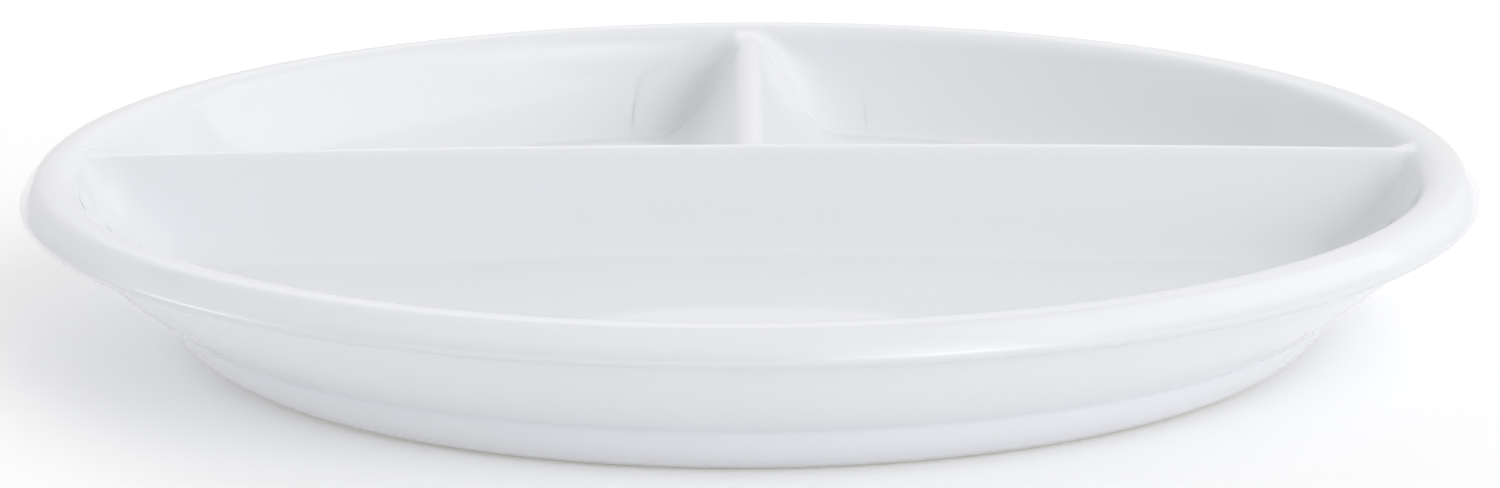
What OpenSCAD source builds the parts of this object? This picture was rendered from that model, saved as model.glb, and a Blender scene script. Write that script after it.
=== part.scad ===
// Round plate with three compartments, a rolled rim and a foot ring.
// Origin: middle of the face that the plate stands on. +Z up, the front compartment towards -Y.
// Each section is drawn with its first axis as distance from a middle line and its second axis
// as height above the table.

/* [Rim] */
// Outside diameter over the rim
plate_d = 260; // [220:1:300]
// Height from the table to the top of the rim
plate_h = 31.4; // [30:0.1:34]
// Height of the rim, from its underside to its top
rim_h = 6.3; // [5.6:0.1:7.2]
// Distance from the rim's outer edge in to the top of its roll
rim_crest_in = 6; // [5.4:0.1:7]
// How far the rim stands out past the wall
rim_overhang = 4.8; // [3.6:0.1:5.6]
// Radius of the roll on the rim's inner side
rim_inner_r = 5; // [4:0.1:6]
// Radius of the roll on the rim's outer side
rim_outer_r = 3.9; // [2.5:0.1:4.5]
// Radius of the rim's lower edge
rim_edge_r = 0.6; // [0.3:0.1:1]

/* [Wall] */
// Steepness of the inner wall where it meets the rim, in degrees
wall_lean = 64; // [60:0.5:68]
// Steepness of the inner wall where it meets the floor, in degrees
floor_lean = 26.4; // [20:0.1:34]
// Radius of the outer wall's swelling curve
wall_outer_r = 86; // [60:1:160]

/* [Floor and foot] */
// Thickness of the floor
floor_t = 4.9; // [4:0.1:6]
// Height of the foot ring, from the table to the underside of the floor
foot_h = 8.6; // [7:0.1:9.5]
// How far the foot ring's top stands out past the edge of the floor
foot_step = 1.3; // [0.8:0.1:5]
// Radius of the foot ring's round outer side
foot_round_r = 13.3; // [10:0.1:18]
// How far in from the foot ring's top the face that the plate stands on begins
tread_inset = 9.6; // [8:0.1:12]
// Width of the face that the plate stands on
tread_w = 5; // [3:0.1:7]
// How far the foot ring's inner side leans in on its way up
foot_lean = 2.6; // [1:0.1:4]

/* [Dividers] */
// Distance from the plate's middle back to the crest of the long divider
long_divider_back = 10; // [0:0.5:20]
// How far the dividers' crests lie below the top of the rim
crest_drop = 0.9; // [0.5:0.1:2.5]
// Radius of the dividers' rounded crests
crest_r = 3; // [2:0.1:4]
// Steepness of the dividers' sides, in degrees
flank_lean = 53; // [48:1:60]
// Radius of the curve between a divider and the floor
divider_foot_r = 10; // [6:0.5:12]
// Thickness of the dividers' sides over the hollow underneath
divider_t = 4.9; // [4.2:0.1:6]
// Radius of the top of the hollow under the dividers
hollow_top_r = 2.5; // [1.5:0.1:3]
// Solid clay between the end of that hollow and the foot ring
hollow_end_t = 4.5; // [3:0.1:8]

/* [Hidden] */
$fn = 360;
glaze = "#E9EBEC";
// How far cutting shapes run past what they cut
overrun = 2;
// How far a round reaches into the line or the round that it runs on from
lap = 0.01;

// Rim: the top of its roll, the centres of its rounds and its joint with the wall
rim_r = plate_d / 2;
rim_z = plate_h - rim_h;
rim_top = [rim_r - rim_crest_in, plate_h];
inner_round = [rim_top.x, plate_h - rim_inner_r];
outer_round = [rim_top.x, plate_h - rim_outer_r];
edge_round = [rim_r - rim_edge_r, rim_z + rim_edge_r - lap];
lean_in = [-sin(wall_lean), cos(wall_lean)];
joint_in = inner_round + rim_inner_r * lean_in;
joint_out = [rim_r - rim_overhang, rim_z];
joint_run = overrun * (joint_in - joint_out) / norm(joint_in - joint_out);

// Straight outer side of the rim: it touches the outer round and the edge round
round_gap = edge_round - outer_round;
side_turn = atan2(round_gap.y, round_gap.x) + acos((rim_outer_r - rim_edge_r) / norm(round_gap));
side_out = [cos(side_turn), sin(side_turn)];
side_top = outer_round + (rim_outer_r - lap) * side_out;
side_low = edge_round + (rim_edge_r - lap) * side_out;

// Well: the hollow curve of its wall runs on from the rim's roll, down to the floor
floor_top = foot_h + floor_t;
wall_drop = joint_in.y - lap * lean_in.y - floor_top;
wall_inner_r = wall_drop / (cos(floor_lean) - lean_in.y);
well_round = inner_round + (rim_inner_r + wall_inner_r - lap) * lean_in;
well_r = well_round.x + wall_inner_r * sin(floor_lean);

// Foot ring, and the centres of the curves on the outside of the plate
foot_top_out = [well_r + foot_step, foot_h];
tread_out = [foot_top_out.x - tread_inset, 0];
tread_in = tread_out - [tread_w, 0];
foot_top_in = [tread_in.x - foot_lean, foot_h];
foot_round = arc_centre(tread_out, foot_top_out, foot_round_r);
wall_round = arc_centre(foot_top_out, joint_out, wall_outer_r);

// Divider section: a round crest, straight sides and a curve that runs out level on the floor
crest_z = plate_h - crest_drop;
crest_round = [0, crest_z - crest_r];
flank_out = [sin(flank_lean), cos(flank_lean)];
flank_top = crest_round + (crest_r - lap) * flank_out;
toe_z = floor_top + divider_foot_r - lap;
toe_reach = crest_r + divider_foot_r - 2 * lap;
toe_x = (toe_reach - (toe_z - crest_round.y) * flank_out.y) / flank_out.x;
toe_round = [toe_x, toe_z];
flank_low = toe_round - (divider_foot_r - lap) * flank_out;

// Hollow under the dividers: its sides run parallel to the dividers' sides
hollow_drop = (divider_t + hollow_top_r - crest_r) / flank_out.y;
hollow_round = crest_round - [0, hollow_drop];
hollow_top = hollow_round + (hollow_top_r - lap) * flank_out;
hollow_low = [hollow_top.x + (hollow_top.y - foot_h) / tan(flank_lean), foot_h];
hollow_end_r = foot_top_in.x - hollow_end_t;
hollow_end_h = crest_z - foot_h;

function mirrored(p) = [-p.x, p.y];

// Centre of the circle of radius r through p and q, on the left of the way from p to q
function arc_centre(p, q, r) =
    let (way = q - p, half = norm(way) / 2)
    (p + q) / 2 + sqrt(r * r - half * half) * [-way.y, way.x] / norm(way);

module disc(centre, r) {
    translate(centre)
        circle(r = r);
}

module rim_section() {
    intersection() {
        union() {
            difference() {
                disc(inner_round, rim_inner_r);
                translate([rim_top.x, 0])
                    square([rim_r, plate_d]);
            }
            difference() {
                disc(outer_round, rim_outer_r);
                square([rim_top.x, plate_d]);
            }
            polygon([[rim_top.x, rim_z], [edge_round.x, rim_z], side_low, side_top, outer_round]);
            disc(edge_round, rim_edge_r);
        }
        polygon([joint_out, [plate_d, rim_z], [plate_d, plate_d], [joint_in.x + joint_run.x, plate_d],
                 joint_in + joint_run]);
    }
}

module wall_section() {
    difference() {
        intersection() {
            disc(wall_round, wall_outer_r);
            polygon([[well_r, foot_h], [rim_r, foot_h], joint_out - joint_run, joint_in + joint_run,
                     [well_r, floor_top + overrun]]);
        }
        disc(well_round, wall_inner_r);
    }
}

module foot_section() {
    intersection() {
        union() {
            square([foot_round.x, foot_h]);
            disc(foot_round, foot_round_r);
        }
        polygon([tread_in, [rim_r, 0], [rim_r, foot_h], foot_top_in]);
    }
}

// All that the wall and the rim enclose, from the underside of the floor up
module well_section() {
    difference() {
        union() {
            polygon([[0, foot_h], [well_r, foot_h], [well_r, floor_top + overrun], joint_in, inner_round,
                     [inner_round.x, plate_h + overrun], [0, plate_h + overrun]]);
            intersection() {
                disc(well_round, wall_inner_r);
                translate([well_r, foot_h])
                    square([rim_r, plate_h - foot_h]);
            }
        }
        disc(inner_round, rim_inner_r);
    }
}

module divider_section() {
    difference() {
        polygon([[toe_x, foot_h], toe_round, flank_low, flank_top, mirrored(flank_top),
                 mirrored(flank_low), mirrored(toe_round), [-toe_x, foot_h]]);
        disc(toe_round, divider_foot_r);
        disc(mirrored(toe_round), divider_foot_r);
    }
    disc(crest_round, crest_r);
}

module hollow_section() {
    below = [0, overrun];
    polygon([hollow_low - below, hollow_low, hollow_top, mirrored(hollow_top),
             mirrored(hollow_low), mirrored(hollow_low) - below]);
    disc(hollow_round, hollow_top_r);
}

// A section run from side to side along the long divider's line
module run_sideways() {
    translate([-rim_r, long_divider_back, 0])
        rotate([90, 0, 90])
            linear_extrude(plate_d)
                children();
}

// A section run from the long divider's line to the back
module run_back() {
    translate([0, rim_r, 0])
        rotate([90, 0, 0])
            linear_extrude(rim_r - long_divider_back)
                children();
}

// The corner of 90 degrees behind the middle of the long divider, where the cross divider joins
module mitre() {
    reach = rim_r + overrun;
    translate([0, long_divider_back, foot_h - overrun])
        linear_extrude(plate_h)
            polygon([[0, 0], [reach, reach], [-reach, reach]]);
}

// Where the hollow under the dividers may lie: inside the foot ring, with leaning ends
module hollow_reach() {
    translate([0, 0, foot_h])
        cylinder(h = hollow_end_h, r1 = hollow_end_r, r2 = hollow_end_r - hollow_end_h / tan(flank_lean));
    translate([0, 0, foot_h - overrun])
        cylinder(h = overrun, r = hollow_end_r);
}

module floor_disc() {
    translate([0, 0, foot_h])
        cylinder(h = floor_t, r = well_r);
}

// Behind the long divider, on the side of the cross divider that +X points to
module rear_corner() {
    translate([toe_x, long_divider_back + toe_x, 0])
        cube([plate_d, plate_d, plate_h]);
}

module rim() {
    color(glaze)
        rotate_extrude()
            rim_section();
}

module side_wall() {
    color(glaze)
        rotate_extrude()
            wall_section();
}

module foot_ring() {
    color(glaze)
        rotate_extrude()
            foot_section();
}

module front_floor() {
    color(glaze)
        intersection() {
            floor_disc();
            translate([-rim_r, long_divider_back - toe_x - plate_d, 0])
                cube([plate_d, plate_d, plate_h]);
        }
}

module rear_right_floor() {
    color(glaze)
        intersection() {
            floor_disc();
            rear_corner();
        }
}

module rear_left_floor() {
    color(glaze)
        intersection() {
            floor_disc();
            mirror([1, 0, 0])
                rear_corner();
        }
}

module long_divider() {
    color(glaze)
        difference() {
            intersection() {
                run_sideways()
                    divider_section();
                rotate_extrude()
                    well_section();
            }
            mitre();
            intersection() {
                run_sideways()
                    hollow_section();
                hollow_reach();
            }
        }
}

module cross_divider() {
    color(glaze)
        difference() {
            intersection() {
                run_back()
                    divider_section();
                rotate_extrude()
                    well_section();
                mitre();
            }
            intersection() {
                run_back()
                    hollow_section();
                hollow_reach();
            }
        }
}

rim();
side_wall();
front_floor();
rear_left_floor();
rear_right_floor();
long_divider();
cross_divider();
foot_ring();
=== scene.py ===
import math

import bpy
import numpy as np
from mathutils import Matrix, Vector


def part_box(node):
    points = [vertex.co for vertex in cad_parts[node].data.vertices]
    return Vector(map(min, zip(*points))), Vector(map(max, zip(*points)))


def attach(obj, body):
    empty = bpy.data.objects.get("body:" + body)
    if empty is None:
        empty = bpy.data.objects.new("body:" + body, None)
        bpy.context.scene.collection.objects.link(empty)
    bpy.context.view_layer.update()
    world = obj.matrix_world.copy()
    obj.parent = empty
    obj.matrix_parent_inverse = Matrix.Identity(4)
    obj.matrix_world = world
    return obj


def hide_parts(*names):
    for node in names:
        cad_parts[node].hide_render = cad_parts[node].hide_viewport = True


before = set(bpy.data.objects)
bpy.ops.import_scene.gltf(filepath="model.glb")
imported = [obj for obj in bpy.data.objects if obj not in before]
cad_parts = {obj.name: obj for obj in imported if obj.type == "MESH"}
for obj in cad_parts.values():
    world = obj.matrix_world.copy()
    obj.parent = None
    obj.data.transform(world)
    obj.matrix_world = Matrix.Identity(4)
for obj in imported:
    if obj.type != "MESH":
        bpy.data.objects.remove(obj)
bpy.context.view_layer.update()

# Sizes that the frame gives. Every length here is in metres
rim_low, rim_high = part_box("rim")
long_low, long_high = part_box("long_divider")
foot_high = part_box("foot_ring")[1]
PLATE_R = rim_high.x
PLATE_H = rim_high.z
RIM_UNDER = rim_low.z
WALL_OUT_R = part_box("side_wall")[1].x
FLOOR_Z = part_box("front_floor")[1].z
FOOT_H = foot_high.z
FOOT_TOP_R = foot_high.x
LONG_Y = (long_low.y + long_high.y) / 2
TOE = (long_high.y - long_low.y) / 2

# Rim, from the well outwards: a roll, its flatter top, the roll again, a long side and an edge
ROLL_IN = 0.006  # from the plate's widest point in to the highest point of the rim
ROLL_IN_R = 0.005
TOP_R = 0.008
TOP_TURN = math.radians(13)  # how far the flatter top turns outwards
ROLL_OUT_R = 0.0034
SIDE_R = 0.012
EDGE_R = 0.0013

# Wall and floor: steepness of the wall's inner side at its top and at the floor, and radii
WALL_LEAN = math.radians(64)
FLOOR_LEAN = math.radians(26.4)
WALL_SWELL_R = 0.086
LIP_FILLET = 0.0012
WELL_FILLET = 0.005
CROWN = 0.00124  # how much higher the floor is in its middle than at its edge
CROWN_SHARE = 0.65  # how much of that is above the level floor of the CAD
CROWN_START = 0.020  # the floor falls from this distance from the plate's axis to the next
CROWN_END = 0.067

# Foot ring
FOOT_ROUND_R = 0.0133
TREAD_IN = 0.0096  # from the edge of its top in to the face that the plate stands on
TREAD_W = 0.005
TREAD_EDGE = 0.0007
FOOT_LEAN = 0.0026  # how much further in its inner side is at the top than at the table
ANKLE_FILLET = 0.0025
FOOT_FILLET = 0.003

# Dividers: their crests sag from the middle towards the rim
CREST_MIDDLE = 0.03115
CREST_R = 0.0033
FLANK = math.radians(53)
LONG_SAG = 0.00128
CROSS_SAG = 0.0013
STRIP_SPARE = 0.0055  # how much floor beside its toe a divider takes in

# Hollow under the dividers
DIVIDER_T = 0.0049
HOLLOW_R = 0.0025
HOLLOW_END = 0.0045  # from the foot ring's inner side to the end of a hollow
HOLLOW_LIP = 0.002

# Valleys beside the dividers: their radius on the floor, then on the wall, then on the rim's roll
FLOOR_ROUND = 0.010
WALL_ROUND = 0.0098
WALL_ROUND_RUN = 0.01
ROLL_ROUND = 0.0034
ROLL_ROUND_START = 0.1145
ROLL_ROUND_RUN = 0.0065
TEE_ROUND = 0.006
TEE_START = 0.008
VALLEY_STEP = 0.001  # distance over which the slopes beside a valley are taken
VALLEY_REACH = 3.4  # how far up its sides a valley's easing reaches, for its radius

# Fineness of the meshes
WELD = 1e-9  # points as close as this are one
TUCK = 0.00005  # how far the wall is drawn in under a divider
SOFT = 0.0005  # distance over which the glaze softens the bends of the body
TURNS = 768
ROLL_POINTS = 28
FILLET_POINTS = 9
WALL_POINTS = 44
CREST_COLUMNS = 16
FLANK_COLUMNS = 46
BUSY = 0.014  # length of the fine rows at each end of a divider
BUSY_ROWS = 36
MIDDLE_ROWS = 88
WALL_ROWS = 50
END_SAMPLES = 400
HALVINGS = 60
RUN_POINTS = 80
ARC_POINTS = 200
FLOOR_ROWS = 60
POLE_IN = 0.028  # from a rear floor's straight sides in to the point that its rows spread from

# Rim and wall in section: each point is (distance from the plate's axis, height)
ROLL_X = PLATE_R - ROLL_IN
ROLL_Z = PLATE_H - ROLL_IN_R
JOINT_X = ROLL_X - ROLL_IN_R * math.sin(WALL_LEAN)
JOINT_Z = ROLL_Z + ROLL_IN_R * math.cos(WALL_LEAN)
WALL_R = (JOINT_Z - FLOOR_Z) / (math.cos(FLOOR_LEAN) - math.cos(WALL_LEAN))
WALL_X = ROLL_X - (ROLL_IN_R + WALL_R) * math.sin(WALL_LEAN)
WALL_Z = ROLL_Z + (ROLL_IN_R + WALL_R) * math.cos(WALL_LEAN)
FILLET_Z = FLOOR_Z - CROWN * (1 - CROWN_SHARE) + WELL_FILLET
FILLET_X = WALL_X + math.sqrt((WALL_R - WELL_FILLET) ** 2 - (WALL_Z - FILLET_Z) ** 2)
FILLET_END = WALL_X + (FILLET_X - WALL_X) * WALL_R / (WALL_R - WELL_FILLET)

# Half a divider's width, and the columns that it is cut into: fine on the crest, then even
STRIP = TOE + (CREST_MIDDLE - long_high.z) / math.tan(FLANK) + STRIP_SPARE
SHOULDER = CREST_R * math.sin(FLANK)
ACROSS = np.concatenate(
    [
        np.linspace(0, SHOULDER, CREST_COLUMNS)[:-1],
        np.linspace(SHOULDER, STRIP, FLANK_COLUMNS),
    ]
)

# Hollow: height of the centre of its round top, and how far from the plate's axis it goes
HOLLOW_MIDDLE = CREST_MIDDLE - CREST_R - (DIVIDER_T + HOLLOW_R - CREST_R) / math.cos(FLANK)
HOLLOW_REACH = FOOT_TOP_R - TREAD_IN - TREAD_W - FOOT_LEAN - HOLLOW_END

# Glaze: linear colours of the body under it, with opacity
BODY_COOL = (0.796, 0.808, 0.845, 1)
BODY_WARM = (0.806, 0.812, 0.838, 1)
BODY_THIN = (0.825, 0.828, 0.842, 1)
BODY_POOLED = (0.74, 0.765, 0.81, 1)
# Painted shade: a darker tint for the band round the rim's lower edge
PAINTED_RIM_SHADE = (0.722, 0.733, 0.765, 1)
SPECK = (0.42, 0.38, 0.34, 1)
BISQUE = (0.78, 0.75, 0.71, 1)

# Glaze: where each feature comes in, from nothing at the first value to all of it at the second
THIN_HEIGHTS = (0.0285, PLATE_H)
CREASE_RADII = (FOOT_TOP_R - 0.0012, FOOT_TOP_R + 0.0004)
CREASE_FROM_BELOW = (FOOT_H - 0.0018, FOOT_H - 0.0002)
CREASE_FROM_ABOVE = (FOOT_H + 0.0012, FOOT_H + 0.0002)
# Where the painted shade round the rim's lower edge comes in
RIM_SHADE_RADII = (PLATE_R - 0.0030, PLATE_R - 0.0012)
RIM_SHADE_HEIGHTS = (RIM_UNDER + 0.0039, RIM_UNDER + 0.0006)
BARE_RADII = (FOOT_TOP_R, FOOT_TOP_R - 0.006)
BARE_HEIGHTS = (0.0010, 0.0007)
SPECK_CHOICE = (0.93, 0.96)
SPECK_SPREAD = (0.016, 0.008)

# Glaze: how strongly each feature tints the body
THIN_TINT = 0.35
CREASE_TINT = 0.5
SPECK_TINT = 0.4

# Glaze: waves of each noise, and cells for the specks, to a metre
CLOUD_WAVES = 14
SLOW_WAVES = 26
GLOSS_WAVES = 60
SPECK_CELLS = 70
RIPPLE_WAVES = 340
RAG_WAVES = 420
GRAIN_WAVES = 2600

# Glaze: heights of its relief
SLOW_H = 0.000018
RIPPLE_H = 0.0000005
RAG_H = 0.0006
PIT_H = 0.00008
PINHOLE_H = -0.00003

# Glaze: its gloss
GLAZE_ROUGH = 0.03
GLAZE_ROUGH_SPREAD = 0.03
BARE_ROUGH = 0.75
GLAZE_IOR = 1.52

# Studio: each glow's radiance, its azimuth and elevation in degrees, and how narrow it is
GLOWS = {
    "front right": (5.5, 302, 25, 20),
    "all round the back": (0.715, 71, 35, 1),
    "behind": (0.7, 100, 42, 20),
    "low left": (4.4, 178, 3, 20),
    "overhead": (0.37, 0, 90, 6),
}
BACKDROP = 0.265
BACKDROP_WAY = Vector((-0.13, 1, -1.12)).normalized()
BACKDROP_EDGE = 0.02
BOX_AWAY = 1.6

# Floor of the studio: half its width, its finish, and the radiance that keeps it pale
STAGE_HALF = 6.0
STAGE_WHITE = (0.9, 0.9, 0.9, 1)
STAGE_ROUGH = 0.9
STAGE_GLOW = 0.146
PURE_WHITE = (1, 1, 1, 1)

# Camera: one metre from its aim. Its lens and sensor are in millimetres
CAMERA_LIFT = math.radians(13.25)
CAMERA_ROLL = math.radians(0.274)
CAMERA_AIM_Z = 0.015
LENS = 133.43
SENSOR = 36
CLIP_START = 0.01
CLIP_END = 50

# Sockets of a Mix node that mixes colours
MIX_FACTOR, MIX_FIRST, MIX_SECOND, MIX_RESULT = 0, 6, 7, 2


def smooth(t):
    """Rises gently from 0 to 1 while t does."""
    t = np.clip(t, 0, 1)
    return t * t * (3 - 2 * t)


def slopes(height, x, y, step):
    """Slope of a height function along x and along y, taken over a step each way."""
    along_x = (height(x + step, y) - height(x - step, y)) / (2 * step)
    along_y = (height(x, y + step) - height(x, y - step)) / (2 * step)
    return along_x, along_y


def facing(height, x, y, way=1):
    """Directions square to a height function, upwards, or downwards where way is -1."""
    along_x, along_y = slopes(height, x, y, SOFT)
    out = np.stack([-along_x, -along_y, np.ones_like(along_x)], -1) * way
    return out / np.linalg.norm(out, axis=-1, keepdims=True)


def join(one, other, x, y, radius):
    """The higher of two height functions, with the valley between them filled by an eased curve.

    The more sharply the two meet, the further the curve reaches up their sides."""
    z1 = one(x, y)
    z2 = other(x, y)
    x1, y1 = slopes(one, x, y, VALLEY_STEP)
    x2, y2 = slopes(other, x, y, VALLEY_STEP)
    upright1 = 1 / np.sqrt(1 + x1**2 + y1**2)
    upright2 = 1 / np.sqrt(1 + x2**2 + y2**2)
    bend = 1 - (1 + x1 * x2 + y1 * y2) * upright1 * upright2
    reach = np.maximum(VALLEY_REACH * radius * bend / (upright1 + upright2), WELD)
    near = np.clip(1 - np.abs(z1 - z2) / reach, 0, 1)
    return np.maximum(z1, z2) + reach * near**3 / 6


def bowl(r):
    """Height of the floor, the wall and the rim's roll at a distance from the plate's axis."""
    past = np.clip((r - CROWN_START) / (CROWN_END - CROWN_START), 0, 1)
    floor = FLOOR_Z + CROWN * (CROWN_SHARE - (1 - np.cos(math.pi * past)) / 2)
    fillet = FILLET_Z - np.sqrt(np.maximum(WELL_FILLET**2 - (r - FILLET_X) ** 2, 0))
    wall = WALL_Z - np.sqrt(np.maximum(WALL_R**2 - (r - WALL_X) ** 2, 0))
    roll = ROLL_Z + np.sqrt(np.maximum(ROLL_IN_R**2 - (r - ROLL_X) ** 2, 0))
    over = PLATE_H - TOP_R + np.sqrt(np.maximum(TOP_R**2 - (r - ROLL_X) ** 2, 0))
    zones = [r < FILLET_X, r < FILLET_END, r < JOINT_X, r < ROLL_X]
    return np.select(zones, [floor, fillet, wall, roll], over)


def bowl_at(x, y):
    """Height of the floor, the wall and the rim's roll at a place."""
    return bowl(np.hypot(x, y))


def ridge(across, radius):
    """Height of a round crest with straight sides, above the centre of the round."""
    v = np.abs(across)
    shoulder = radius * math.sin(FLANK)
    side = radius * math.cos(FLANK) - (v - shoulder) * math.tan(FLANK)
    crown = np.sqrt(np.maximum(radius**2 - v**2, 0))
    return np.where(v < shoulder, crown, side)


def long_roof(x, y):
    """Height of the long divider."""
    crest = CREST_MIDDLE - LONG_SAG * (x / JOINT_X) ** 2
    return crest - CREST_R + ridge(y - LONG_Y, CREST_R)


def cross_roof(x, y):
    """Height of the cross divider, which is only behind the long one."""
    run = (y - LONG_Y) / (JOINT_X - LONG_Y)
    crest = CREST_MIDDLE - CROSS_SAG * run**2
    return np.where(y > LONG_Y, crest - CREST_R + ridge(x, CREST_R), -PLATE_H)


def past_tee(x, y):
    """Rises gently from 0 on either divider's crest line to 1 beside them."""
    return smooth(np.minimum(np.abs(x), np.abs(y - LONG_Y)) / TEE_START)


def dividers(x, y):
    """Height of both dividers, with eased valleys where their sides meet."""
    return join(long_roof, cross_roof, x, y, TEE_ROUND * past_tee(x, y))


def top(x, y):
    """Height of the plate's upper side."""
    r = np.hypot(x, y)
    on_wall = smooth((r - FILLET_X) / WALL_ROUND_RUN)
    on_roll = smooth((r - ROLL_ROUND_START) / ROLL_ROUND_RUN)
    radius = FLOOR_ROUND + (WALL_ROUND - FLOOR_ROUND) * on_wall
    radius = radius + (ROLL_ROUND - WALL_ROUND) * on_roll
    return join(bowl_at, dividers, x, y, radius)


def bed(x, y):
    """Height of the wall and the rim, drawn in a little where a divider covers them."""
    z = bowl_at(x, y)
    return z - np.minimum((top(x, y) - z) / 2, TUCK)


def trough(across, along):
    """Height of the hollow under a divider, which ends in a slope at its far end."""
    section = HOLLOW_MIDDLE + ridge(across, HOLLOW_R)
    return np.minimum(section, FOOT_H + (HOLLOW_REACH - along) * math.tan(FLANK))


def long_trough(x, y):
    """Height of the long divider's hollow."""
    return trough(y - LONG_Y, np.hypot(x, y))


def cross_trough(x, y):
    """Height of the cross divider's hollow, which is only behind the long one."""
    return np.where(y > LONG_Y, trough(x, np.hypot(x, y)), FOOT_H - STRIP)


def troughs(x, y):
    """Height of both dividers' hollows."""
    return join(long_trough, cross_trough, x, y, HOLLOW_LIP * past_tee(x, y))


def level_under(x, y):
    """Height of the floor's underside, which is level."""
    return FOOT_H + 0 * x


def under(x, y):
    """Height of the plate's underside inside the foot ring."""
    return join(level_under, troughs, x, y, HOLLOW_LIP)


def lay(height, x, y):
    """A grid of points on a height function."""
    return np.stack([x, y, height(x, y)], -1)


def corner_sets(grid):
    """The four corners of each cell of a grid of points."""
    return np.stack([grid[:-1, :-1], grid[1:, :-1], grid[1:, 1:], grid[:-1, 1:]], 2).reshape(-1, 4, 3)


def shell(name, patches, material):
    """A closed piece made of patches. Each is a grid of points and the outward directions there."""
    corners = np.concatenate([corner_sets(points) for points, _ in patches])
    outward = np.concatenate(
        [corner_sets(np.broadcast_to(ways, points.shape)) for points, ways in patches]
    )

    # Cells whose corners run clockwise, seen from outside, are turned over
    across = np.cross(corners[:, 2] - corners[:, 0], corners[:, 3] - corners[:, 1])
    turned = np.einsum("fi,fi->f", across, outward.sum(1)) < 0
    corners[turned] = corners[turned][:, ::-1]
    outward[turned] = outward[turned][:, ::-1]

    # Corners at one spot become one. Cells that lie on each other or have no area are left out
    cells = np.round(corners.reshape(-1, 3) / WELD).astype(np.int64)
    spots, index = np.unique(cells, axis=0, return_inverse=True)
    index = index.reshape(-1, 4)
    own = index != np.roll(index, 1, axis=1)
    _, twin, count = np.unique(np.sort(index, axis=1), axis=0, return_inverse=True, return_counts=True)
    single = count[twin.ravel()] == 1
    faces = []
    ways = []
    for ring, used, way in zip(index[single], own[single], outward[single]):
        if used.sum() > 2:
            faces.append(ring[used].tolist())
            ways.append(way[used])

    mesh = bpy.data.meshes.new(name)
    mesh.from_pydata((spots * WELD).tolist(), [], faces)
    mesh.polygons.foreach_set("use_smooth", np.ones(len(faces), bool))
    mesh.normals_split_custom_set(np.concatenate(ways).tolist())
    mesh.materials.append(material)
    piece = bpy.data.objects.new(name, mesh)
    bpy.context.scene.collection.objects.link(piece)
    return piece


def arc(centre, radius, start, end, count, hollow=False):
    """Points on an arc, and the outward directions there. Angles are in degrees."""
    turn = np.radians(np.linspace(start, end, count))
    way = np.stack([np.cos(turn), np.sin(turn)], -1)
    return centre + radius * way, -way if hollow else way


def line(start, end, count=2):
    """Points on a line, and the directions to its right."""
    way = (end - start) / np.linalg.norm(end - start)
    points = start + np.linspace(0, 1, count)[:, None] * (end - start)
    return points, np.broadcast_to([way[1], -way[0]], points.shape)


def around(pairs):
    """Points or directions of a section, turned round the plate's axis."""
    turn = np.linspace(0, 2 * math.pi, TURNS + 1)
    turn[-1] = 0
    cos, sin = np.cos(turn), np.sin(turn)
    r, z = pairs[:, :1], pairs[:, 1:]
    return np.stack([r * cos, r * sin, z + 0 * cos], -1)


def spin(points, ways):
    """A patch made of a stretch of section, turned round the plate's axis."""
    return around(points), around(ways)


def spin_bed(radii):
    """A patch of the wall or the roll, all round, drawn in under the dividers."""
    points = around(np.stack([radii, bowl(radii)], -1))
    x, y = points[..., 0], points[..., 1]
    points[..., 2] = bed(x, y)
    return points, facing(top, x, y)


def joint_face(low, high, way):
    """A face that runs up to the wall's upper side, which is drawn in under the dividers."""
    points = around(np.array([low, high]))
    points[1, :, 2] = bed(points[1, :, 0], points[1, :, 1])
    return points, around(np.array([way, way]))


def angle_of(centre, point):
    """Angle of a point round a centre, in degrees."""
    return math.degrees(math.atan2(point[1] - centre[1], point[0] - centre[0]))


def crossing(one, one_r, other, other_r):
    """Point where two circles cross, on the right of the way from one centre to the other."""
    gap = other - one
    span = np.linalg.norm(gap)
    run = (span**2 + one_r**2 - other_r**2) / (2 * span)
    rise = math.sqrt(one_r**2 - run**2)
    way = gap / span
    return one + run * way + rise * np.array([way[1], -way[0]])


def outer_point(centre, radius, height):
    """Point on a circle's outer side at a height."""
    return np.array([centre[0] + math.sqrt(radius**2 - (centre[1] - height) ** 2), height])


def arc_centre(p, q, radius):
    """Centre of the circle through p and q, on the left of the way from p to q."""
    way = q - p
    half = np.linalg.norm(way) / 2
    return (p + q) / 2 + math.sqrt(radius**2 - half**2) * np.array([-way[1], way[0]]) / (2 * half)


# Outside of the plate in section
joint_in = np.array([JOINT_X, JOINT_Z])
joint_out = np.array([WALL_OUT_R, RIM_UNDER])
foot_top = np.array([FOOT_TOP_R, FOOT_H])
tread_out = np.array([FOOT_TOP_R - TREAD_IN, 0])
tread_in = tread_out - [TREAD_W, 0]
swell = arc_centre(foot_top, joint_out, WALL_SWELL_R)
foot_round = arc_centre(tread_out, foot_top, FOOT_ROUND_R)


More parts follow.
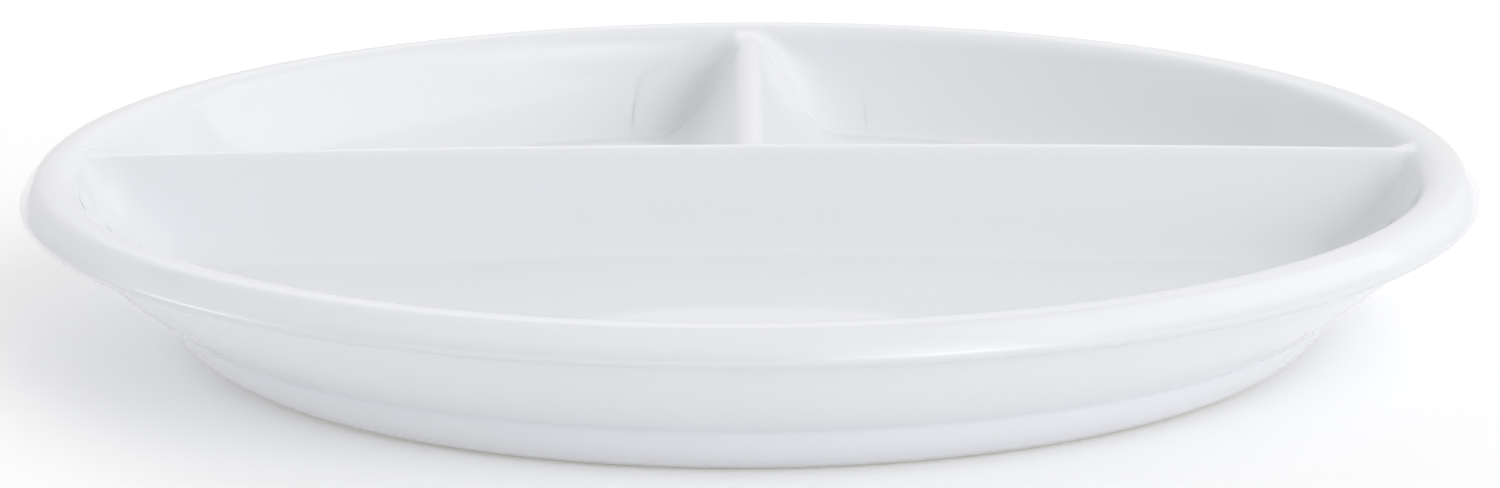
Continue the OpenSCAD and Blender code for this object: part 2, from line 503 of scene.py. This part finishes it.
def rim_turns():
    """Where the rim's roll turns into its outer side, and that into its lower edge.

    Both are tilts from upright, found by halving: the side then ends at the rim's full width."""

    def width_left(side_end, roll_end):
        roll = TOP_R * math.sin(TOP_TURN) + ROLL_OUT_R * (math.sin(roll_end) - math.sin(TOP_TURN))
        side = SIDE_R * (math.sin(side_end) - math.sin(roll_end))
        return ROLL_IN - roll - side - EDGE_R * (1 - math.sin(side_end))

    def height_left(side_end, roll_end):
        roll = TOP_R * (1 - math.cos(TOP_TURN)) + ROLL_OUT_R * (math.cos(TOP_TURN) - math.cos(roll_end))
        side = SIDE_R * (math.cos(roll_end) - math.cos(side_end))
        return PLATE_H - RIM_UNDER - roll - side - EDGE_R * (1 + math.cos(side_end))

    def halve(short, low, high):
        for _ in range(HALVINGS):
            middle = (low + high) / 2
            if short(middle) > 0:
                low = middle
            else:
                high = middle
        return low

    def side_end(roll_end):
        return halve(lambda end: height_left(end, roll_end), roll_end, math.pi / 2)

    roll_end = halve(lambda turn: -width_left(side_end(turn), turn), TOP_TURN, math.pi / 2)
    return roll_end, side_end(roll_end)


def rim_patches():
    """The rim: its roll, its outer side and edge, its underside and its joint with the wall."""
    roll_end, side_end = rim_turns()
    top_round = np.array([ROLL_X, PLATE_H - TOP_R])
    lean = np.array([math.sin(TOP_TURN), math.cos(TOP_TURN)])
    roll = top_round + (TOP_R - ROLL_OUT_R) * lean
    out = np.array([math.sin(roll_end), math.cos(roll_end)])
    side = roll + (ROLL_OUT_R - SIDE_R) * out
    edge = np.array([PLATE_R - EDGE_R, RIM_UNDER + EDGE_R])
    top_turn = 90 - math.degrees(TOP_TURN)
    roll_turn = 90 - math.degrees(roll_end)
    side_turn = 90 - math.degrees(side_end)
    edge_arc = arc(edge, EDGE_R, side_turn, -90, count=18)
    return [
        spin_bed(ROLL_X - ROLL_IN_R * np.sin(np.linspace(WALL_LEAN, 0, ROLL_POINTS))),
        spin(*arc(top_round, TOP_R, 90, top_turn, count=8)),
        spin(*arc(roll, ROLL_OUT_R, top_turn, roll_turn, count=20)),
        spin(*arc(side, SIDE_R, roll_turn, side_turn, count=16)),
        spin(*edge_arc),
        spin(*line(joint_out, edge_arc[0][-1], count=6)),
        joint_face(joint_out, joint_in, [0, -1]),
    ]


def wall_patches():
    """The wall between the floor and the rim, with the fillet that it ends in at the floor."""
    fillet_radii = np.linspace(FILLET_X, FILLET_END, FILLET_POINTS)
    leans = np.linspace(math.asin((FILLET_END - WALL_X) / WALL_R), WALL_LEAN, WALL_POINTS)
    radii = np.concatenate([fillet_radii[:-1], WALL_X + WALL_R * np.sin(leans)])
    radii[-1] = JOINT_X
    lip = outer_point(swell, WALL_SWELL_R + LIP_FILLET, RIM_UNDER - LIP_FILLET)
    meet = angle_of(swell, lip)
    lip_arc = arc(lip, LIP_FILLET, 90, 180 + meet, count=8, hollow=True)
    floor_edge = np.array([FILLET_X, FOOT_H])
    return [
        spin_bed(radii),
        joint_face(joint_out, joint_in, [0, 1]),
        spin(*line(lip_arc[0][0], joint_out)),
        spin(*lip_arc),
        spin(*arc(swell, WALL_SWELL_R, meet, angle_of(swell, foot_top), count=40)),
        spin(*line(floor_edge, foot_top)),
        joint_face(floor_edge, floor_edge + [0, FLOOR_Z - FOOT_H], [-1, 0]),
    ]


def foot_patches():
    """The foot ring, from the face that the plate stands on out, up to the wall and back in."""
    ankle = crossing(foot_round, FOOT_ROUND_R + ANKLE_FILLET, swell, WALL_SWELL_R + ANKLE_FILLET)
    low = angle_of(foot_round, ankle)
    high = angle_of(swell, ankle)
    ankle_arc = arc(ankle, ANKLE_FILLET, 180 + low, 180 + high, count=10, hollow=True)
    toe = outer_point(foot_round, FOOT_ROUND_R - TREAD_EDGE, TREAD_EDGE)
    toe_turn = angle_of(foot_round, toe)
    toe_arc = arc(toe, TREAD_EDGE, -90, toe_turn, count=8)
    lean = math.atan2(FOOT_H, FOOT_LEAN)
    inward = np.array([-math.sin(lean), -math.cos(lean)])
    inward_turn = math.degrees(math.atan2(inward[1], inward[0]))
    rounding = (1 + inward[1]) / inward[0]  # sideways shift of a round's centre, for its radius
    heel = tread_in + [-TREAD_EDGE * rounding, TREAD_EDGE]
    heel_arc = arc(heel, TREAD_EDGE, inward_turn, -90, count=8)
    arch = tread_in + [-FOOT_LEAN, FOOT_H] + [FOOT_FILLET * rounding, -FOOT_FILLET]
    arch_arc = arc(arch, FOOT_FILLET, 90, inward_turn + 180, count=12, hollow=True)
    return [
        spin(*toe_arc),
        spin(*arc(foot_round, FOOT_ROUND_R, toe_turn, low, count=24)),
        spin(*ankle_arc),
        spin(*line(ankle_arc[0][-1], foot_top)),
        spin(*line(foot_top, arch_arc[0][0])),
        spin(*arch_arc),
        spin(*line(arch_arc[0][-1], heel_arc[0][0], count=8)),
        spin(*heel_arc),
        spin(*line(heel_arc[0][-1], toe_arc[0][0], count=6)),
    ]


def wall_ends(spot, edge, limit):
    """How far along a divider each of its columns shows above the wall and the rim's roll.

    The outermost sample that shows, between limit and edge, is found first, and from there the
    end, by halving. Columns beyond the last one that shows at all take its end."""

    def shows(along):
        x, y = spot(along)
        return top(x, y) > bowl_at(x, y) + WELD

    samples = np.linspace(limit, edge, END_SAMPLES)
    shown = shows(samples)
    reached = shown.any(0)
    first = np.where(reached, shown.argmax(0), len(samples) - 1)
    column = np.arange(len(ACROSS))
    inside = samples[first, column]
    outside = samples[np.maximum(first - 1, 0), column]
    for _ in range(HALVINGS):
        middle = (inside + outside) / 2
        here = shows(middle)
        inside = np.where(here, middle, inside)
        outside = np.where(here, outside, middle)
    last = np.nonzero(reached)[0][-1]
    inside[last + 1 :] = inside[last]
    return inside


def toe_way(spot):
    """The level direction in which a divider's toe faces."""
    x, y = spot(np.zeros(len(ACROSS)))
    way = np.array([x[-1] - x[0], y[-1] - y[0], 0])
    return way / np.linalg.norm(way)


def divider_quarter(spot, offset, start, front):
    """Patches of a quarter of a divider, from its crest line out to one toe and to the rim.

    spot gives x and y from the distance along the divider, for all columns at once. offset is how
    far to the side of the plate's axis each column runs, and start is where it begins. front is
    the way that its first end faces, or None where it runs on into the next quarter."""
    edge = np.sqrt(FILLET_X**2 - offset**2)
    limit = np.sqrt((ROLL_X - TUCK) ** 2 - offset**2)
    near = np.minimum(start + BUSY, edge)
    far = edge - BUSY
    rows = np.concatenate(
        [
            np.linspace(start, near, BUSY_ROWS)[:-1],
            np.linspace(near, far, MIDDLE_ROWS)[:-1],
            np.linspace(far, edge, BUSY_ROWS),
        ]
    )
    x, y = spot(rows)
    wall_x, wall_y = spot(np.linspace(edge, wall_ends(spot, edge, limit), WALL_ROWS))
    over_x = np.concatenate([x, wall_x[1:]])
    over_y = np.concatenate([y, wall_y[1:]])
    upper = lay(top, over_x, over_y)
    lower = lay(under, x, y)
    seat = lay(bed, wall_x, wall_y)
    seat[-1] = lay(bowl_at, wall_x[-1], wall_y[-1])
    upper[-1] = seat[-1]
    outward = np.stack([x[-1], y[-1], 0 * x[-1]], -1) / FILLET_X
    patches = [
        (upper, facing(top, over_x, over_y)),
        (lower, facing(under, x, y, -1)),
        (seat, facing(bowl_at, wall_x, wall_y, -1)),
        (np.stack([lower[-1], seat[0]]), np.stack([outward, outward])),
        (np.stack([upper[: len(rows), -1], lower[:, -1]]), toe_way(spot)),
    ]
    if front is not None:
        patches.append((np.stack([upper[0], lower[0]]), np.array(front)))
    return patches


def long_patches():
    """The long divider. Its rear side is cut on the slant, where the cross divider's end fits in."""
    patches = []
    for hand in (-1, 1):
        for side in (-1, 1):

            def spot(along, hand=hand, side=side):
                return hand * along, LONG_Y + side * ACROSS + 0 * along

            start = ACROSS if side > 0 else 0 * ACROSS
            front = (-hand, 1, 0) if side > 0 else None
            patches += divider_quarter(spot, LONG_Y + side * ACROSS, start, front)
    return patches


def cross_patches():
    """The cross divider. Its front end is cut to a point that fits into the long one."""
    patches = []
    for hand in (-1, 1):

        def spot(along, hand=hand):
            return hand * ACROSS + 0 * along, along

        patches += divider_quarter(spot, ACROSS, LONG_Y + ACROSS, (hand, -1, 0))
    return patches


def floor_patches(corners, pole):
    """A slab inside straight runs from corner to corner and an arc from the last to the first.

    Its rows spread from the pole. The arc lies along the foot of the wall."""
    runs = [np.linspace(start, end, RUN_POINTS)[:-1] for start, end in zip(corners, corners[1:])]
    first, last = np.arctan2(corners[[-1, 0], 1], corners[[-1, 0], 0])
    turns = np.linspace(first, last, ARC_POINTS)
    runs.append(FILLET_X * np.stack([np.cos(turns), np.sin(turns)], -1)[:-1])
    outline = np.concatenate([*runs, runs[0][:1]])
    spread = pole + np.linspace(0, 1, FLOOR_ROWS)[:, None, None] * (outline - pole)
    x, y = spread[..., 0], spread[..., 1]
    upper = lay(bowl_at, x, y)
    lower = lay(level_under, x, y)
    side = np.concatenate([outline - pole, 0 * outline[:, :1]], -1)
    side = side / np.linalg.norm(side, axis=-1, keepdims=True)
    return [
        (upper, facing(top, x, y)),
        (lower, np.array([0.0, 0.0, -1.0])),
        (np.stack([upper[-1], lower[-1]]), np.stack([side, side])),
    ]


def front_floor_patches():
    y = LONG_Y - STRIP
    x = math.sqrt(FILLET_X**2 - y**2)
    return floor_patches(np.array([[x, y], [-x, y]]), np.array([0, y - FILLET_X / 2]))


def rear_floor_patches(hand):
    y = LONG_Y + STRIP
    far_x = math.sqrt(FILLET_X**2 - y**2)
    far_y = math.sqrt(FILLET_X**2 - STRIP**2)
    corners = np.array([[hand * far_x, y], [hand * STRIP, y], [hand * STRIP, far_y]])
    return floor_patches(corners, np.array([hand * (STRIP + POLE_IN), y + POLE_IN]))


def add(tree, kind, inputs, **settings):
    """A new node. Each of its inputs is a plain value or the output of another node."""
    node = tree.nodes.new(kind)
    for name, value in settings.items():
        setattr(node, name, value)
    for key, value in inputs.items():
        if isinstance(value, bpy.types.NodeSocket):
            tree.links.new(value, node.inputs[key])
        else:
            node.inputs[key].default_value = value
    return node


def calculate(tree, operation, *values):
    """A Math node's result."""
    return add(tree, "ShaderNodeMath", dict(enumerate(values)), operation=operation).outputs[0]


def vector(tree, operation, *values):
    """A Vector Math node, whose first output is a vector and whose second is a number."""
    return add(tree, "ShaderNodeVectorMath", dict(enumerate(values)), operation=operation)


def product(tree, one, *others):
    for other in others:
        one = calculate(tree, "MULTIPLY", one, other)
    return one


def total(tree, one, *others):
    for other in others:
        one = calculate(tree, "ADD", one, other)
    return one


def between(tree, value, low, high, start=0.0, end=1.0):
    """Goes gently from start to end while the value goes from low to high."""
    inputs = {"Value": value, "From Min": low, "From Max": high, "To Min": start, "To Max": end}
    return add(tree, "ShaderNodeMapRange", inputs, interpolation_type="SMOOTHSTEP").outputs[0]


def blend(tree, amount, one, other):
    """One colour, turning into the other as the amount goes from 0 to 1."""
    inputs = {MIX_FACTOR: amount, MIX_FIRST: one, MIX_SECOND: other}
    return add(tree, "ShaderNodeMix", inputs, data_type="RGBA").outputs[MIX_RESULT]


def noise(tree, place, waves, detail):
    """Noise between 0 and 1, with so many waves a metre."""
    return add(tree, "ShaderNodeTexNoise", {"Vector": place, "Scale": waves, "Detail": detail}).outputs[0]


def speck_mask(tree, place):
    """Iron specks in the body, a few to the hand's breadth: most cells have none."""
    cells = add(tree, "ShaderNodeTexVoronoi", {"Vector": place, "Scale": SPECK_CELLS})
    choice = add(tree, "ShaderNodeSeparateColor", {0: cells.outputs["Color"]}).outputs[0]
    return product(
        tree,
        between(tree, choice, *SPECK_CHOICE),
        between(tree, cells.outputs["Distance"], *SPECK_SPREAD),
    )


def crease_mask(tree, radius, height):
    """The crease between the foot ring and the wall, where the glaze gathers."""
    return product(
        tree,
        between(tree, radius, *CREASE_RADII),
        between(tree, height, *CREASE_FROM_BELOW),
        between(tree, height, *CREASE_FROM_ABOVE),
    )


def rim_shade_mask(tree, radius, height):
    """Painted shade along the rim's lower edge: a darker band where the rim turns under."""
    return product(tree, between(tree, radius, *RIM_SHADE_RADII), between(tree, height, *RIM_SHADE_HEIGHTS))


def bare_mask(tree, place, radius, height):
    """The bare ring that the plate stands on, with a ragged edge."""
    ragged = product(tree, noise(tree, place, RAG_WAVES, detail=2), RAG_H)
    level = total(tree, height, ragged)
    return product(tree, between(tree, level, *BARE_HEIGHTS), between(tree, radius, *BARE_RADII))


def glaze_relief(tree, place, speck, bare):
    """Height of the glaze's faint ripple and slow waves, its pinholes and the bare grain."""
    ripple = product(tree, noise(tree, place, RIPPLE_WAVES, detail=1), RIPPLE_H)
    wave = product(tree, noise(tree, place, SLOW_WAVES, detail=1), SLOW_H)
    pits = product(tree, noise(tree, place, GRAIN_WAVES, detail=3), bare, PIT_H)
    return total(tree, ripple, wave, pits, product(tree, speck, PINHOLE_H))


def glaze_material():
    """Clear glossy glaze over a cool white body, bare where the foot ring stands on the table."""
    material = bpy.data.materials.new("glaze")
    material.use_nodes = True
    tree = material.node_tree
    shader = tree.nodes["Principled BSDF"]
    place = add(tree, "ShaderNodeTexCoord", {}).outputs["Object"]
    height = add(tree, "ShaderNodeSeparateXYZ", {0: place}).outputs["Z"]
    flat = vector(tree, "MULTIPLY", place, (1, 1, 0)).outputs["Vector"]
    radius = vector(tree, "LENGTH", flat).outputs["Value"]
    speck = speck_mask(tree, place)
    bare = bare_mask(tree, place, radius, height)

    # The glaze runs thin over the crests and the rim, and gathers above the foot ring
    thin = product(tree, between(tree, height, *THIN_HEIGHTS), THIN_TINT)
    crease = product(tree, crease_mask(tree, radius, height), CREASE_TINT)
    colour = blend(tree, noise(tree, place, CLOUD_WAVES, detail=3), BODY_COOL, BODY_WARM)
    colour = blend(tree, thin, colour, BODY_THIN)
    colour = blend(tree, crease, colour, BODY_POOLED)
    # Painted shade along the rim's lower edge, darkening the band that faces down
    colour = blend(tree, rim_shade_mask(tree, radius, height), colour, PAINTED_RIM_SHADE)
    colour = blend(tree, product(tree, speck, SPECK_TINT), colour, SPECK)
    colour = blend(tree, bare, colour, BISQUE)
    tree.links.new(colour, shader.inputs["Base Color"])

    cloudy = noise(tree, place, GLOSS_WAVES, detail=4)
    gloss = calculate(tree, "MULTIPLY_ADD", cloudy, GLAZE_ROUGH_SPREAD, GLAZE_ROUGH)
    rough = calculate(tree, "MULTIPLY_ADD", bare, BARE_ROUGH, gloss)
    tree.links.new(rough, shader.inputs["Roughness"])

    relief = glaze_relief(tree, place, speck, bare)
    bump = add(tree, "ShaderNodeBump", {"Strength": 1.0, "Distance": 1.0, "Height": relief})
    tree.links.new(bump.outputs["Normal"], shader.inputs["Normal"])
    shader.inputs["IOR"].default_value = GLAZE_IOR
    return material


def stage_material():
    material = bpy.data.materials.new("stage_white")
    material.use_nodes = True
    shader = material.node_tree.nodes["Principled BSDF"]
    shader.inputs["Base Color"].default_value = STAGE_WHITE
    shader.inputs["Roughness"].default_value = STAGE_ROUGH
    shader.inputs["Emission Color"].default_value = PURE_WHITE
    shader.inputs["Emission Strength"].default_value = STAGE_GLOW
    return material


def make_floor():
    corners = [(x * STAGE_HALF, y * STAGE_HALF, 0) for x, y in ((-1, -1), (1, -1), (1, 1), (-1, 1))]
    mesh = bpy.data.meshes.new("stage_floor")
    mesh.from_pydata(corners, [], [(0, 1, 2, 3)])
    mesh.materials.append(stage_material())
    floor = bpy.data.objects.new("stage_floor", mesh)
    bpy.context.scene.collection.objects.link(floor)


def direction(azimuth, elevation):
    """A direction from its azimuth, in degrees from +X towards +Y, and its elevation."""
    a, e = math.radians(azimuth), math.radians(elevation)
    return Vector((math.cos(a) * math.cos(e), math.sin(a) * math.cos(e), math.sin(e)))


def softbox(name, way, turn, shift, size, radiance):
    """An oblong area light that faces the plate, turned about its way there and then shifted."""
    across = Vector((0, 0, 1)).cross(way).normalized()
    turned = Matrix.Rotation(math.radians(turn), 3, way)
    side, rise = turned @ across, turned @ way.cross(across)
    data = bpy.data.lights.new(name, "AREA")
    data.shape = "RECTANGLE"
    data.size = size[0]
    data.size_y = size[1]
    data.energy = math.pi * size[0] * size[1] * radiance
    light = bpy.data.objects.new(name, data)
    spot = BOX_AWAY * way + shift[0] * side + shift[1] * rise
    light.matrix_world = Matrix.Translation(spot) @ Matrix((side, rise, way)).transposed().to_4x4()
    light.visible_camera = False
    bpy.context.scene.collection.objects.link(light)


def make_world():
    """The studio round the plate: broad soft glows by direction, and a backdrop with an edge."""
    world = bpy.data.worlds.new("studio")
    bpy.context.scene.world = world
    world.use_nodes = True
    tree = world.node_tree
    background = tree.nodes["Background"]
    way = add(tree, "ShaderNodeTexCoord", {}).outputs["Generated"]

    def toward(aim):
        return vector(tree, "DOT_PRODUCT", way, aim).outputs["Value"]

    light = between(tree, toward(BACKDROP_WAY), -BACKDROP_EDGE, BACKDROP_EDGE, 0.0, BACKDROP)
    for radiance, azimuth, elevation, narrowness in GLOWS.values():
        gap = calculate(tree, "SUBTRACT", toward(direction(azimuth, elevation)), 1.0)
        fall = calculate(tree, "EXPONENT", product(tree, gap, narrowness))
        light = total(tree, light, product(tree, fall, radiance))
    background.inputs["Color"].default_value = PURE_WHITE
    tree.links.new(light, background.inputs["Strength"])


def make_camera():
    """The photo's view: from the front and a little above, aimed at the plate's axis."""
    data = bpy.data.cameras.new("camera")
    camera = bpy.data.objects.new("camera", data)
    bpy.context.scene.collection.objects.link(camera)
    bpy.context.scene.camera = camera
    data.sensor_width = SENSOR
    data.lens = LENS
    data.clip_start = CLIP_START
    data.clip_end = CLIP_END
    away = Vector((0, -math.cos(CAMERA_LIFT), math.sin(CAMERA_LIFT)))
    aim = Vector((0, 0, CAMERA_AIM_Z))
    turn = away.to_track_quat("Z", "Y").to_matrix().to_4x4()
    camera.matrix_world = Matrix.Translation(aim + away) @ turn @ Matrix.Rotation(-CAMERA_ROLL, 4, "Z")


glaze = glaze_material()
SHAPES = {
    "rim": rim_patches(),
    "side_wall": wall_patches(),
    "front_floor": front_floor_patches(),
    "rear_left_floor": rear_floor_patches(-1),
    "rear_right_floor": rear_floor_patches(1),
    "long_divider": long_patches(),
    "cross_divider": cross_patches(),
    "foot_ring": foot_patches(),
}
for node, patches in SHAPES.items():
    piece = shell("glazed_" + node, patches, glaze)
    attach(piece, "root")
    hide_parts(node)

make_floor()
make_world()
make_camera()
softbox(
    "high_right_box",
    way=direction(0, 35),
    turn=-20,
    shift=(0.02, 0.44),
    size=(1.91, 1.16),
    radiance=0.6,
)
bpy.context.scene.view_settings.view_transform = "Standard"
